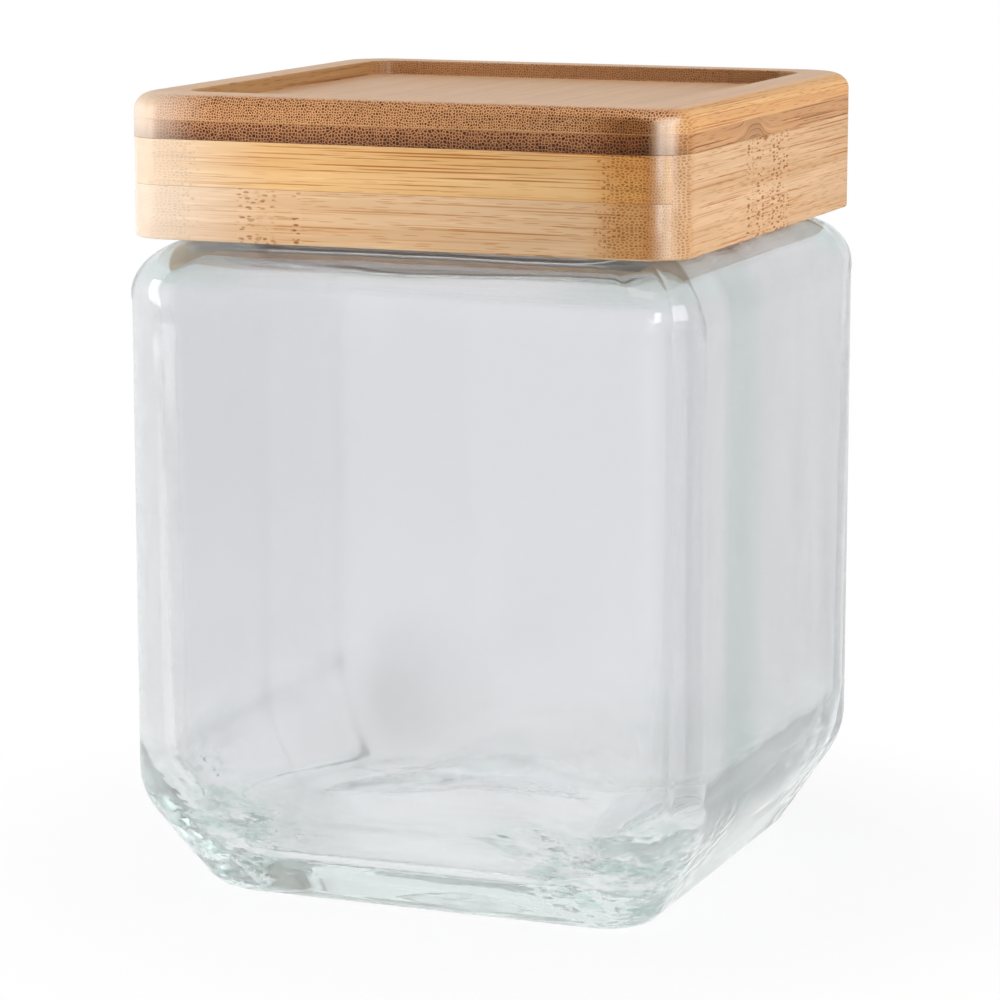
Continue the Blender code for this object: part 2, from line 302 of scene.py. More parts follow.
# %% [markdown]
# ## Knurls, ripples and seams in Geometry Nodes
# A pressed jar stands on small knurls, which keep its hot base off the conveyor, its walls are never quite
# flat, and its mould leaves two faint seams. All of it follows rules, so a node tree moves the points of
# the loft: by a wave along the foot, a slow noise and a ridge on two corners. Attributes tell the tree how
# far round the foot a point is, and how much it belongs to the bearing ring, to a seam, to the inside and
# to the outside.

# %% Attributes for the node tree
KNURLS = 96
SEAM_SIDES = (1, 3)
SEAM_COLUMNS = 1.6
UNDERSIDE_LEVEL = 0.3 * MM
CALM_MOUTH, CALM_NECK = mm(8, 14)
heights = np.array([v.co.z for v in jar.data.vertices])
levels = np.arange(len(heights)) // jar_columns.count
columns_of = np.arange(len(heights)) % jar_columns.count
lip_level = int(np.argmax(jar_stations[:, 1]))


def attribute(name, values):
    """A number on each point of the jar, for the tree to read."""
    made = jar.data.attributes.new(name, "FLOAT", "POINT")
    made.data.foreach_set("value", np.asarray(values, np.float32))


def ramp(distance, length):
    """0 up to 1 over a length."""
    return np.clip(distance / length, 0, 1)


ring_middle = BEARING_EDGE - BEARING_WIDTH / 2
foot_ring = jar_columns.ring(ring_middle, 0, FOOT_CORNER)
steps_round = np.linalg.norm(np.roll(foot_ring, -1, 0) - foot_ring, axis=1)
turn_share = np.concatenate([[0], np.cumsum(steps_round)[:-1]]) / steps_round.sum()
attribute("turn", turn_share[columns_of])
halves = np.append(jar_stations[:, 0], [0, 0])[np.minimum(levels, len(jar_stations))]
in_ring = np.clip(1.25 - np.abs(halves - ring_middle) / (BEARING_WIDTH / 2), 0, 1)
attribute("bearing", in_ring * (heights < UNDERSIDE_LEVEL))
attribute("inside", (levels > lip_level) * ramp(jar_top - CALM_MOUTH - heights, 10 * MM))
attribute("outside", (levels < lip_level) * ramp(jar_top - CALM_NECK - heights, 8 * MM))
seam = np.zeros(len(heights))
for side in SEAM_SIDES:
    seam_column = side * (CORNER_STEPS + STRAIGHT_STEPS) + CORNER_STEPS // 2
    seam = np.maximum(seam, 1 - np.abs(columns_of - seam_column) / SEAM_COLUMNS)
rise = ramp(heights - 3 * MM, 6 * MM) * ramp(SHOULDER_HEIGHT - heights, 3 * MM)
attribute("seam", seam * rise * (levels < lip_level))
print("knurl pitch in mm:", round(steps_round.sum() / KNURLS / MM, 2))

# %% [markdown]
# A small class keeps the node trees readable. It wraps one socket, and Python's own operators add the Math
# nodes. It serves the Geometry Nodes here and the materials further down, because both kinds of tree take
# the same sums.

# %% Sums on sockets
def operator(name, swapped=False):
    """A method that adds one Math node for two values."""
    return lambda one, two: one.maths(name, *((two, one) if swapped else (one, two)))


class Signal:
    """One output of a node. Sums on it add Math nodes to the same tree."""

    def __init__(self, tree, socket):
        self.tree, self.socket = tree, socket

    def __getitem__(self, name):
        """Another output of the same node."""
        return Signal(self.tree, self.socket.node.outputs[name])

    def maths(self, operation, *values, clamp=False):
        settings = {"operation": operation, "use_clamp": clamp}
        return self.tree.node("ShaderNodeMath", settings, dict(enumerate(values)))

    __add__ = __radd__ = operator("ADD")
    __mul__ = __rmul__ = operator("MULTIPLY")
    __sub__, __rsub__ = operator("SUBTRACT"), operator("SUBTRACT", swapped=True)
    __truediv__, __rtruediv__ = operator("DIVIDE"), operator("DIVIDE", swapped=True)
    __pow__, larger = operator("POWER"), operator("MAXIMUM")

    def __abs__(self):
        return self.maths("ABSOLUTE", self)

    def floor(self):
        return self.maths("FLOOR", self)

    def clamped(self):
        """Kept between 0 and 1."""
        return self.maths("ADD", self, 0.0, clamp=True)

    def eased(self, low, high):
        """0 below low, 1 above high, and a smooth step between them."""
        settings = {"interpolation_type": "SMOOTHSTEP"}
        sockets = {"Value": self, "From Min": low, "From Max": high}
        return self.tree.node("ShaderNodeMapRange", settings, sockets)

    def faded(self, low, high):
        """1 below low, 0 above high, and a smooth step between them."""
        return 1 - self.eased(low, high)

    def within(self, rise_from, rise_to, fall_from, fall_to):
        """1 in the middle of four levels, and eased to 0 on both sides."""
        return self.eased(rise_from, rise_to) * self.faded(fall_from, fall_to)


class Tree:
    """A node tree and the one method that adds its nodes."""

    def __init__(self, tree):
        self.tree = tree

    def node(self, kind, settings=None, inputs=None, output=0):
        """A node of that kind. Its settings are set first, then its sockets are given values or links."""
        made = self.tree.nodes.new(kind)
        for name, value in (settings or {}).items():
            setattr(made, name, value)
        for name, value in (inputs or {}).items():
            if isinstance(value, Signal):
                self.tree.links.new(value.socket, made.inputs[name])
            else:
                made.inputs[name].default_value = value
        return Signal(self, made.outputs[output]) if made.outputs else made


# %% The start and the end of a tree
def new_group(name, inputs):
    """An empty tree that takes a geometry and named inputs. Gives the tree and its Group Input."""
    group = bpy.data.node_groups.new(name, "GeometryNodeTree")
    group.interface.new_socket("Geometry", in_out="INPUT", socket_type="NodeSocketGeometry")
    for title, kind in inputs.items():
        group.interface.new_socket(title, in_out="INPUT", socket_type="NodeSocket" + kind)
    group.interface.new_socket("Geometry", in_out="OUTPUT", socket_type="NodeSocketGeometry")
    tree = Tree(group)
    return tree, tree.node("NodeGroupInput", output="Geometry")


def end_group(tree, geometry, material):
    """Makes instances real, sets the material and ends the tree."""
    real = tree.node("GeometryNodeRealizeInstances", None, {"Geometry": geometry})
    finished = tree.node("GeometryNodeSetMaterial", None, {"Geometry": real, "Material": material})
    tree.node("NodeGroupOutput", None, {"Geometry": finished})
    print(tree.tree.name, "has", len(tree.tree.nodes), "nodes")
    return tree.tree


# %% The pressed glass tree
def pressed_glass_tree():
    """Knurls on the bearing ring, slow ripples in the walls and the seams of the mould."""
    tree, given = new_group("pressed_glass", {
        "Knurl Count": "Int", "Knurl Depth": "Float", "Inner Ripple": "Float", "Outer Ripple": "Float",
        "Ripple Scale": "Float", "Seam Height": "Float", "Seed": "Float", "Glass": "Material",
    })

    def named(name):
        return tree.node("GeometryNodeInputNamedAttribute", {"data_type": "FLOAT"}, {"Name": name})

    angle = named("turn") * given["Knurl Count"] * math.tau
    wave = angle.maths("COSINE", angle)
    knurl = named("bearing") * given["Knurl Depth"] * (0.5 - 0.5 * wave)
    noise = tree.node(
        "ShaderNodeTexNoise", {"noise_dimensions": "4D"},
        {"Scale": given["Ripple Scale"], "W": given["Seed"], "Detail": 1.0, "Roughness": 0.4},
    )
    inner = named("inside") * given["Inner Ripple"] * (noise - 0.5) * 2
    outer = named("outside") * given["Outer Ripple"] * noise
    move = inner - outer - knurl + named("seam") * given["Seam Height"]
    normal = tree.node("GeometryNodeInputNormal")
    offset = tree.node("ShaderNodeVectorMath", {"operation": "SCALE"}, {0: normal, "Scale": move})
    moved = tree.node("GeometryNodeSetPosition", None, {"Geometry": given, "Offset": offset})
    return end_group(tree, moved, given["Glass"])


def bake(obj, group, values):
    """Runs a node tree on an object, with its inputs set by their identifiers, and keeps the plain mesh."""
    modifier = obj.modifiers.new(group.name, "NODES")
    modifier.node_group = group
    for item in group.interface.items_tree:
        if item.in_out == "INPUT" and item.name in values:
            modifier[item.identifier] = values[item.name]
    bpy.context.view_layer.update()
    graph = bpy.context.evaluated_depsgraph_get()
    mesh = bpy.data.meshes.new_from_object(obj.evaluated_get(graph), depsgraph=graph)
    obj.modifiers.clear()
    obj.data = mesh
    print(f"{obj.name}: {len(mesh.vertices)} points after {group.name}")


# %% [markdown]
# ## Finishes
# A finish is a material with its own tree. Colours are written as they are seen, from 0 to 255, and turned
# into the linear values that Blender works with.

# %% Helpers for finishes
def seen(red, green, blue):
    """A colour as it is seen on a screen, from 0 to 255, in linear light, by the sRGB curve."""
    shares = (red / 255, green / 255, blue / 255)
    return tuple(v / 12.92 if v < 0.0404 else ((v + 0.055) / 1.055) ** 2.4 for v in shares)


class Finish(Tree):
    """A material, its object coordinates and its surface shader."""

    def __init__(self, name):
        self.material = bpy.data.materials.new(name)
        self.material.use_nodes = True
        super().__init__(self.material.node_tree)
        self.tree.nodes.clear()
        place = self.node("ShaderNodeTexCoord", output="Object")
        self.x = self.node("ShaderNodeSeparateXYZ", None, {0: place})
        self.y, self.z = self.x["Y"], self.x["Z"]

    def point(self, x, y, z=0.0):
        return self.node("ShaderNodeCombineXYZ", None, {0: x, 1: y, 2: z})

    def scaled(self, x, y, z=0.0):
        """The place, stretched by a number along each axis: more means a finer pattern."""
        return self.point(self.x * x, self.y * y, self.z * z)

    def away(self):
        """How far a point is from the canister's centre line."""
        return (self.x * self.x + self.y * self.y) ** 0.5

    def diagonal(self):
        """Grows fastest towards the four corners."""
        return abs(self.x) + abs(self.y)

    def noise(self, point, detail=2.0, roughness=0.5):
        sockets = {"Vector": point, "Scale": 1.0, "Detail": detail, "Roughness": roughness}
        return self.node("ShaderNodeTexNoise", None, sockets)

    def cells(self, point, irregular, feature="F1"):
        """How far a point is from the middle of its cell, or from the edge between two cells."""
        return self.node(
            "ShaderNodeTexVoronoi", {"voronoi_dimensions": "2D", "feature": feature},
            {"Vector": point, "Scale": 1.0, "Randomness": irregular}, output="Distance",
        )

    def chance(self, number):
        """A random value from 0 to 1 for each whole number."""
        return self.node("ShaderNodeTexWhiteNoise", {"noise_dimensions": "1D"}, {"W": number}, output="Value")

    def red_of(self, signal):
        """The red part of a texture's colour. Its green and blue are other outputs of the same node."""
        return self.node("ShaderNodeSeparateColor", None, {0: signal["Color"]})

    def mix(self, share, first, second, way="MIX"):
        """Two colours mixed by a share."""
        settings = {"data_type": "RGBA", "blend_type": way}
        colours = {6: first, 7: second}
        inputs = {n: c if isinstance(c, Signal) else (*c, 1) for n, c in colours.items()}
        return self.node("ShaderNodeMix", settings, {0: share, **inputs}, output=2)

    def bump(self, height, depth):
        """A normal bent by a height from 0 to 1 that stands for a depth in metres."""
        return self.node("ShaderNodeBump", None, {"Strength": 1.0, "Distance": depth, "Height": height})

    def surface(self, **inputs):
        """The Principled shader, with its sockets named with underscores for spaces."""
        sockets = {name.replace("_", " "): value for name, value in inputs.items()}
        return self.node("ShaderNodeBsdfPrincipled", None, sockets)

    def out(self, surface, volume=None):
        sockets = {"Surface": surface}
        if volume:
            sockets["Volume"] = volume
        self.node("ShaderNodeOutputMaterial", None, sockets)
        return self.material


# %% [markdown]
# ## Glass
# Soda glass is clear through a wall and green along it, so some green comes from a volume, with plain
# values. The rest is tone on the surface: it is green where the thick heel and shoulder turn a corner,
# and it has painted shade through its right side, in a darker green band beside its front corner and in a
# grey patch low on its back wall, and painted light on its inner floor.

# %% Tints of the glass
CLEAR_TINT, THICK_TINT, FLOOR_PAINTED_LIGHT_TINT = (0.862, 0.862, 0.88), (0.862, 0.875, 0.88), (0.97, 0.97, 0.98)
SIDE_PAINTED_SHADE_TINT, BAND_PAINTED_SHADE_TINT, PATCH_PAINTED_SHADE_TINT = (0.66, 0.663, 0.68), (0.5, 0.56, 0.55), (0.68, 0.68, 0.69)
FLECK_TINT, SHOULDER_TINT = (0.44, 0.6, 0.55), (0.5, 0.64, 0.6)


def heel_corners(finish):
    """The thick corners of the heel, apart from the one at the back left."""
    low = finish.z.faded(*mm(14, 25)) * finish.diagonal().eased(*mm(65, 79))
    return low * (finish.y - finish.x).faded(*mm(40, 70))


def shoulder_of(finish):
    """The top of the glass, from the shoulder up."""
    return finish.z.eased(*mm(111, 116))


def glass_tint(finish):
    """Clear where thin, green where thick, with painted shade on the right and back and painted light on the
    floor.
    """
    cloud = finish.noise(finish.scaled(25, 25, 25), 1.0)
    side = finish.x.eased(*mm(47, 52)) * finish.z.eased(*mm(13, 32))
    patch = finish.x.within(*mm(-51, -45, -42, -14)) * finish.y.eased(*mm(30, 46))
    flecks = finish.noise(finish.scaled(120, 120, 300), 3.0, 0.6).eased(0.5, 0.56)
    tint = finish.mix(finish.z.faded(*mm(6, 24)) * 0.6 + cloud * 0.4, CLEAR_TINT, THICK_TINT)
    for share, colour in (
        # Painted light on the inner floor; painted shade on the right side, its green band and the back
        # patch.
        (finish.away().faded(*mm(34, 38)) * finish.z.faded(*mm(19, 22)), FLOOR_PAINTED_LIGHT_TINT),
        (side, SIDE_PAINTED_SHADE_TINT),
        (side * finish.y.within(*mm(-31, -29, -20, -5)), BAND_PAINTED_SHADE_TINT),
        (patch * abs(finish.z - 18 * MM).faded(*mm(2, 24)), PATCH_PAINTED_SHADE_TINT),
        (heel_corners(finish) * flecks * 0.75, FLECK_TINT),
        (shoulder_of(finish) * finish.diagonal().eased(*mm(74, 90)) * 0.45, SHOULDER_TINT),
    ):
        tint = finish.mix(share, tint, colour)
    return tint


# %% [markdown]
# The surface has faint ripples, long waves at the shoulder and broken shapes in the corners of the heel,
# all as bump. The floor is frosted where the plunger chilled it, the knurls are dull, and the walls blur a
# little. A share of the light goes straight through, as through two parallel faces, and shadow rays pass,
# so the lamps reach the inside.

# %% The glass finish
RELIEF_DEPTH = 0.06 * MM
STRAIGHT_THROUGH = (0.93, 0.93, 0.94, 1)
SHADOW_TINT = (0.9, 0.92, 0.91, 1)


def clear_glass():
    finish = Finish("clear_soda_glass")
    ripple = finish.noise(finish.scaled(60, 60, 38), 2.0)
    broken = finish.noise(finish.scaled(170, 170, 330), 1.5).eased(0.34, 0.66) * heel_corners(finish)
    waves = finish.noise(finish.scaled(26, 26, 300), 0.0) * shoulder_of(finish)
    slanted = finish.point(finish.x * 55 + finish.y * 30, finish.y * 190 - finish.x * 60, 3.0)
    chill = finish.noise(slanted, 3.0, 0.6).eased(0.52, 0.72)
    frost = chill * finish.z.within(*mm(9, 12, 21, 23)) * finish.away().faded(*mm(24, 38))
    knurls = finish.z.faded(*mm(0.4, 1.6))
    walls = finish.z.within(*mm(24, 40, 113, 119))
    relief = ripple + frost * 0.9 + broken * 4.6 + waves * 3.4
    glass = finish.surface(
        Base_Color=glass_tint(finish), Roughness=knurls * 0.3 + frost * 0.35 + walls * 0.11,
        Transmission_Weight=1.0, IOR=1.5, Normal=finish.bump(relief, RELIEF_DEPTH),
    )
    straight = finish.node("ShaderNodeBsdfTransparent", None, {0: STRAIGHT_THROUGH})
    share = 0.04 + 0.18 * finish.z.eased(*mm(14, 44)) * (1 - 0.7 * finish.z.eased(*mm(102, 116)))
    soft = finish.node("ShaderNodeMixShader", None, {0: share, 1: glass, 2: straight})
    shadow_ray = finish.node("ShaderNodeLightPath", output="Is Shadow Ray")
    clear = finish.node("ShaderNodeBsdfTransparent", None, {0: SHADOW_TINT})
    both = finish.node("ShaderNodeMixShader", None, {0: shadow_ray, 1: soft, 2: clear})
    volume = finish.node("ShaderNodeVolumeAbsorption", None, {"Color": (0.3, 0.85, 0.72, 1), "Density": 1.6})
    return finish.out(both, volume)


GLASS = clear_glass()
bake(jar, pressed_glass_tree(), {
    "Knurl Count": KNURLS, "Knurl Depth": 0.14 * MM, "Inner Ripple": 0.3 * MM, "Outer Ripple": 0.06 * MM,
    "Ripple Scale": 38.0, "Seam Height": 0.12 * MM, "Seed": 4.0, "Glass": GLASS,
})

# %% [markdown]
# ## Bamboo
# Bamboo is a pale ground with dark bundles of fibre that run along the grain. Across the grain they show as
# a web of cells half a millimetre apart, and along it as rows of long, thin strokes. One solid pattern
# could carry each bundle through the board, but only faces are seen, so each kind of face has its own
# pattern, at the sizes of the real lid.

# %% Spots on bamboo
BUNDLE = 0.5 * MM


def spots(wood, point, irregular, size, soft_from, low, high):
    """Spots in a field of cells. low and high set how many of the spots are kept."""
    field = wood.cells(point, irregular)
    return (field / size).faded(soft_from, 1.0) * wood.red_of(field).eased(low, high)


def dots(wood, along, across, length, pitch, size, low, high):
    """Loose spots, wider along the grain."""
    return spots(wood, wood.point(along / length, across / pitch), 1.0, size, 0.6, low, high)


def strokes(wood, along, across, length, pitch, size, low, high):
    """Long thin spots along the grain, in rows that are shifted by chance."""
    slip = wood.chance((across / pitch + 0.25).floor()) * 9
    return spots(wood, wood.point(along / length + slip, across / pitch), 0.5, size, 0.66, low, high)


# %% [markdown]
# The normal tells end grain from side grain, and with the place it tells where light and shade are painted:
# a painted highlight on the rounded front corners and on the left end of the front, paler end grain with
# weaker dots where the lamps catch the corners, painted shade beside the front right corner, and painted
# shade on the walls of the recess, which look inward and have weaker dots. A swirl bends the layers at one
# place along the grain.

# %% The faces of a bamboo piece
WANDER = 1.1 * MM


class Bamboo(Finish):
    """Bamboo with its grain along X or Y, the shares of its faces, masks of painted light and shade, and a
    wander.
    """

    def __init__(self, name, grain, shift, left_highlight_to, swirl):
        super().__init__(name)
        self.shift = shift
        self.along, self.across = (self.x, self.y) if grain == "X" else (self.y, self.x)
        normal = self.node("ShaderNodeTexCoord", output="Normal")
        self.right = right = self.node("ShaderNodeSeparateXYZ", None, {0: normal})
        back, above = right["Y"], right["Z"]
        self.front = 0 - back
        self.top, self.upright = above.eased(0.85, 0.99), 1 - abs(above)
        self.cut = abs(right if grain == "X" else back).eased(0.06, 0.5)
        self.corner = abs(right * back) * 2
        # inward marks faces that look towards the centre line, as the walls of the recess do: weaker dots,
        # painted shade.
        self.inward = (0 - self.x * right - self.y * back).eased(*mm(20, 34))
        # corner_highlight is a painted highlight on the rounded corners that face the front.
        corner_highlight = self.corner.eased(0.5, 0.8) * abs(right).faded(0.68, 0.86) * self.front.eased(0.2, 0.5)
        self.corner_highlight = corner_highlight * (1 - self.inward)
        # corner_shade is painted shade: a dark band on the front faces beside the front right corner.
        self.corner_shade = (self.x - self.y).eased(*mm(86, 95)) * self.front.eased(0.8, 0.97)
        # pale is a painted highlight on the left end of the front, where the near lamp catches it.
        self.pale = self.x.faded(-50 * MM, left_highlight_to) * self.y.faded(*mm(-50, -42))
        # end_grain_highlight is a painted highlight: where lamps catch the corners, end grain is paler, dots
        # weaker.
        self.end_grain_highlight = right.eased(0.4, 0.75).larger((0 - right).eased(0.02, 0.3) * 1.5) * self.cut
        self.twist, self.up = 0, self.z
        if swirl:
            place, width, depth = swirl
            reach = (self.along - place) / width
            self.twist = 1 / (1 + reach * reach * reach * reach) * self.across.eased(*mm(20, 44))
            self.up = self.z - self.twist * depth
        slow_place = self.point(self.along * 11 + shift, self.across * 70, self.up * 70 + shift)
        self.slow = self.red_of(self.noise(slow_place, 1.0))
        self.side_move = (self.slow - 0.5) * WANDER
        self.up_move = (self.slow["Green"] - 0.5) * WANDER


# %% [markdown]
# The web of the end grain is the distance to the edges of a field of cells: dark in their middles, pale at
# the edges. On the rails it reaches a little past the corners, where the bundles are cut at a slant.

# %% End grain
def end_grain(wood, grain, pitch, web, dark_end):
    """The share of end grain, how much its bundles thicken, and the bundles."""
    lean = wood.along * (0.6 if grain == "X" else 0.0)
    sideways = (wood.across + lean + wood.side_move) / pitch + wood.shift
    point = wood.point(sideways, (wood.up + wood.up_move) / pitch)
    chance = wood.red_of(wood.cells(point, 0.8))
    edges = wood.cells(point, 0.8, "DISTANCE_TO_EDGE")
    end = wood.cut
    if grain == "X":
        near = (wood.diagonal() + (chance - 0.5) * 5 * MM).eased(*mm(90, 93))
        end = end.larger(near * 0.7 * wood.upright)
    thick = wood.up.faded(*dark_end) * end if dark_end else 0
    bundle = (edges + thick * 0.05 + (chance - 0.5) * 0.08).eased(web - 0.08, web + 0.1)
    bundle = bundle * (0.8 + 0.2 * chance["Green"]) * (1 - wood.end_grain_highlight * 0.5) * (1 - wood.inward * 0.4)
    return end, thick, bundle * (1 - wood.corner_highlight * 0.3) * (1 - wood.pale * 0.5)


# %% [markdown]
# Along the grain there are four kinds of stroke, each with a length, a pitch, a size and two levels of
# chance. At a knuckle of the cane the strokes fade, and loose dots stand in their place. A rail may have a
# small dark crack.

# %% Side grain and knuckles
THREADS = (*mm(44, 0.4), 0.3, 0.3, 0.6)
BOLD = (*mm(80, 0.62), 0.26, 0.4, 0.6)
SHORT = (*mm(7, 0.34), 0.28, 0.55, 0.75)
LIGHT = (*mm(16, 0.44), 0.36, 0.5, 0.7)


def side_grain(wood, rows, knuckle, streaks, ticks):
    """The dark strokes along the grain, and the slow bands between them."""
    along, shift = wood.along, wood.shift
    layers = wood.point(along * 6, wood.across * 320 + shift, wood.up * 320)
    bands = wood.noise(layers, 2.0, 0.55).eased(0.3, 0.7)
    threads = strokes(wood, along + shift, rows, *THREADS)
    bold = strokes(wood, along - shift, rows + 0.013, *BOLD)
    short = strokes(wood, along + shift, rows + 0.029, *SHORT)
    lines = (threads * 0.5 + bold * (0.4 + 0.6 * bands)) * streaks + short * ticks
    return lines * (1 - knuckle * 0.6) * (1 - wood.top * 0.6) * (1 - wood.pale * 0.6), bands


def knuckle_marks(wood, rows, knuckle, dash, crack_z):
    """Loose dots at the knuckles, and the crack of a rail that has one."""
    along = wood.along + wood.shift
    dashes = dots(wood, along, rows + 0.053, dash, 0.8 * MM, 0.32, 0.2, 0.4)
    specks = dots(wood, along, rows + 0.067, dash * 0.7, 0.6 * MM, 0.3, 0.4, 0.6)
    patches = wood.point(wood.along * 160, wood.across * 160 + wood.shift, wood.z * 230)
    patch = wood.noise(patches, 1.0).eased(0.3, 0.5)
    marks = (dashes * 0.9).larger(specks * 0.8) * knuckle * (0.25 + 0.75 * patch)
    if crack_z:
        crack = (abs(wood.along + 6 * MM) / 3 + abs(wood.z - crack_z)).faded(*mm(0.2, 0.9))
        marks = marks.larger(crack * 0.9)
    return marks


# %% [markdown]
# A piece's finish puts the patterns together, then the tone of the strips and painted light and shade:
# highlights on the corners and the left end, a painted reflection on the tops, a painted falloff along the
# front, and shade at the front right and in the recess. The coat is thin, with more gloss on the corners
# that are cut across the bundles.

# %% The bamboo finish
CORNER_HIGHLIGHT_TINT, LEFT_HIGHLIGHT_TINT, TOP_REFLECTION_TINT = seen(250, 228, 208), seen(248, 236, 222), seen(228, 196, 174)
CORNER_SHADE_TINT = (1.0, 0.78, 0.5)


def bamboo(name, grain, ground, fibre, shift=0.0, pitch=BUNDLE, knuckles=(), dark_end=None, strip=21 * MM,
           tones=0.1, streaks=0.8, ticks=0.5, web=0.19, swirl=None, glue_z=None, dash=2.2 * MM, corner_shade_depth=0.12,
           left_highlight_to=-20 * MM, sheen=0.24, crack_z=None):
    """Bamboo with its grain along X or Y. Between the levels of dark_end its bundles thicken, downwards."""
    wood = Bamboo(name, grain, shift, left_highlight_to, swirl)
    top, inward = wood.top, wood.inward
    end, thick, bundle = end_grain(wood, grain, pitch, web, dark_end)
    knuckle = wood.x * 0
    for place, width in knuckles:
        reach = (wood.along - place) / width
        knuckle = knuckle + 1 / (1 + (reach * reach) ** 3)
    knuckle = knuckle.clamped()
    rows = wood.up - abs(wood.across + 0.7 * MM) + (wood.side_move + wood.up_move) * 0.5 + shift * 0.31
    lines, bands = side_grain(wood, rows, knuckle, streaks, ticks)
    marks = knuckle_marks(wood, rows, knuckle, dash, crack_z)
    along_share = (lines + marks).clamped()
    share = along_share + (bundle - along_share) * end

    side = wood.mix(bands * (1 - top * 0.5), ground[0], ground[1])
    body = wood.mix(wood.cut * (1 - wood.end_grain_highlight * 0.8), side, ground[2])
    colour = wood.mix(share.clamped(), body, wood.mix((marks * 0.45).larger(end), *fibre))
    if glue_z:
        colour = wood.mix(abs(wood.z - glue_z).faded(*mm(0.08, 0.2)) * 0.6, colour, ground[0])

    tone = wood.chance(((wood.across + 0.6) / strip + shift).floor())
    light = strokes(wood, wood.along + shift, rows + 0.041, *LIGHT)
    level = 1 + (tone - 0.5) * (2 * tones) + (wood.slow["Blue"] - 0.5) * 0.16 * (1 - top * 0.6) - thick * 0.2
    # The level holds painted light and shade: lighter tops, shade at the front right corner and on inward
    # faces.
    level = (level + light * (1 - end) * 0.1 + top * 0.1) * (1 - wood.corner_shade * corner_shade_depth) * (1 - inward * 0.36)
    # painted_falloff is painted shade: the front faces grow darker towards the right, as the near lamp's
    # light falls off.
    painted_falloff = wood.x.eased(*mm(-26, 44)) * wood.front.eased(0.72, 0.95) * (0.19 if grain == "X" else 0.28)
    level = level * (1 - wood.twist * 0.2) * (1 - painted_falloff)
    # Painted highlights: the left end of the front and the rounded corners turn pale.
    colour = wood.mix(wood.pale * 0.52, colour, LEFT_HIGHLIGHT_TINT)
    colour = wood.mix(wood.corner_highlight * sheen, colour, CORNER_HIGHLIGHT_TINT)
    # Painted reflection: the tops take the pinkish white of a bright room seen at a low angle.
    colour = wood.mix(top * 0.4, colour, TOP_REFLECTION_TINT)
    # Painted shade: the band beside the front right corner turns darker and deeper in colour.
    colour = wood.mix(wood.corner_shade, colour, CORNER_SHADE_TINT, way="MULTIPLY")
    colour = wood.node("ShaderNodeVectorMath", {"operation": "SCALE"}, {0: colour, "Scale": level})
    gloss = 0.88 * wood.corner * wood.cut * wood.right.faded(0.62, 0.8)
    print(name, "has", len(wood.tree.nodes), "nodes")
    return wood.out(wood.surface(
        Base_Color=colour, Roughness=0.5 + share * 0.12, Specular_IOR_Level=0.14, Coat_Roughness=0.24,
        Coat_Weight=(0.04 + 0.08 * top + gloss).clamped(), Normal=wood.bump(1 - share, 0.02 * MM),
    ))


# %% [markdown]
# The two plies of the top are caramel, with their end grain at the front and back. The rails are natural,
# and their end grain only shows where the rounded corners cut across the bundles. The front rail has a
# knuckle in its lower strip, and the side rail one over its whole height.

# %% The bamboo of each piece
CARAMEL = (seen(230, 180, 122), seen(212, 155, 98), seen(226, 164, 110))
CARAMEL_FIBRE = (seen(170, 104, 54), seen(72, 34, 14))
DEEP = (seen(208, 156, 106), seen(190, 136, 86), seen(200, 138, 92))
DEEP_FIBRE = (seen(140, 84, 46), seen(62, 26, 14))
NATURAL = (seen(225, 189, 149), seen(213, 171, 127), seen(206, 152, 98))
GOLDEN = (seen(236, 192, 134), seen(222, 168, 104), seen(206, 152, 98))
SUNLIT = (seen(224, 184, 143), seen(210, 166, 121), seen(210, 156, 102))
NATURAL_FIBRE = (seen(184, 118, 56), seen(96, 46, 18))
ply_joint = lower_high.z
UPPER_BAMBOO = bamboo(
    "caramel_bamboo_upper_ply", "Y", CARAMEL, CARAMEL_FIBRE, 0.0, pitch=0.47 * MM, tones=0.05, web=0.16,
    glue_z=ply_joint, corner_shade_depth=0.45, left_highlight_to=-33 * MM, sheen=0.52,
)
LOWER_BAMBOO = bamboo(
    "caramel_bamboo_lower_ply", "Y", DEEP, DEEP_FIBRE, 7.3, pitch=0.58 * MM, tones=0.07, web=0.14,
    dark_end=(lower_low.z, ply_joint - 0.6 * MM), swirl=mm(-12.4, 5, 2.6), glue_z=ply_joint,
    streaks=1.3, corner_shade_depth=0.42, left_highlight_to=-36 * MM, sheen=0.52,
)
FRONT_KNUCKLE = mm(-27.4, 1.9), mm(-23.5, 1.4), mm(-18, 0.8)
SIDE_KNUCKLE = mm(-0.4, 3.4), mm(5, 3), mm(-9, 2.6), mm(-15, 1.6)
RAIL_FINISHES = {
    node: bamboo("natural_bamboo_" + name, grain, ground, NATURAL_FIBRE, shift, **looks)
    for node, name, grain, ground, shift, looks in (
        ("front_rail_upper_strip", "front_upper", "X", GOLDEN, 3.1, dict(streaks=1.4, ticks=0.3)),
        ("front_rail_lower_strip", "front_lower", "X", NATURAL, 5.7, dict(knuckles=FRONT_KNUCKLE)),
        ("back_rail_upper_strip", "back_upper", "X", GOLDEN, 8.2, dict(streaks=1.0)),
        ("back_rail_lower_strip", "back_lower", "X", NATURAL, 11.4, dict(knuckles=[mm(17, 2), mm(21, 1.3)])),
        ("right_rail", "right", "Y", SUNLIT, 13.9, dict(
            knuckles=SIDE_KNUCKLE, streaks=0.9, dash=2.9 * MM, crack_z=lower_low.z - 0.5 * MM,
        )),
        ("left_rail", "left", "Y", NATURAL, 17.6, dict(knuckles=[mm(9, 3)])),
    )
}
PLUG_BAMBOO = bamboo("natural_bamboo_plug", "X", NATURAL, NATURAL_FIBRE, 21.5, strip=17 * MM)

